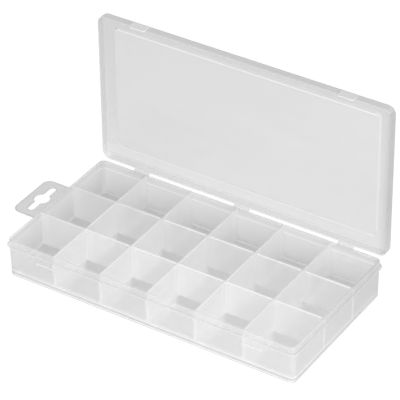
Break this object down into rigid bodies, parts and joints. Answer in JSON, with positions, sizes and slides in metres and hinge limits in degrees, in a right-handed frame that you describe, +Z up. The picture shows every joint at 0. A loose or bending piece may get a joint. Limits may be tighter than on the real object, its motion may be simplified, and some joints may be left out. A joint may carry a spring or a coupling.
{
  "type": "small parts organizer",
  "caption": "Flat frosted translucent box with fixed square compartments, a hinged skirted lid on living hinges, two snap lips and a hang tab.",
  "frame": {"origin": "middle of the tray's foot rim, on the surface that it stands on", "axes": "+X along the long side, away from the hang tab; +Y towards the hinges; +Z up"},
  "size_m": [0.2542, 0.1273, 0.1488],
  "materials": {
    "frosted_polypropylene": "frosted translucent, natural colour",
    "thin_polypropylene": "thin frosted translucent web"
  },
  "bodies": {
    "tray": {"tray_shell": "frosted_polypropylene", "hang_tab": "frosted_polypropylene", "long_divider_front": "frosted_polypropylene", "long_divider_rear": "frosted_polypropylene", "cross_divider_1": "frosted_polypropylene", "cross_divider_2": "frosted_polypropylene", "cross_divider_3": "frosted_polypropylene", "cross_divider_4": "frosted_polypropylene", "cross_divider_5": "frosted_polypropylene", "thumb_rib_left": "frosted_polypropylene", "thumb_rib_right": "frosted_polypropylene", "tray_hinge_root_left": "frosted_polypropylene", "tray_hinge_root_middle": "frosted_polypropylene", "tray_hinge_root_right": "frosted_polypropylene"},
    "lid": {"lid_shell": "frosted_polypropylene", "latch_lip_left": "frosted_polypropylene", "latch_lip_right": "frosted_polypropylene", "lid_hinge_root_left": "frosted_polypropylene", "lid_hinge_root_middle": "frosted_polypropylene", "lid_hinge_root_right": "frosted_polypropylene", "hinge_film_left": "thin_polypropylene", "hinge_film_middle": "thin_polypropylene", "hinge_film_right": "thin_polypropylene"}
  },
  "joints": [
    {"name": "lid_hinge", "type": "hinge", "parent": "tray", "child": "lid", "pos_m": [0, 0.0621, 0.0267], "axis": [1, 0, 0], "range_deg": [-90, 90], "deforming": ["hinge_film_left", "hinge_film_middle", "hinge_film_right"]}
  ]
}
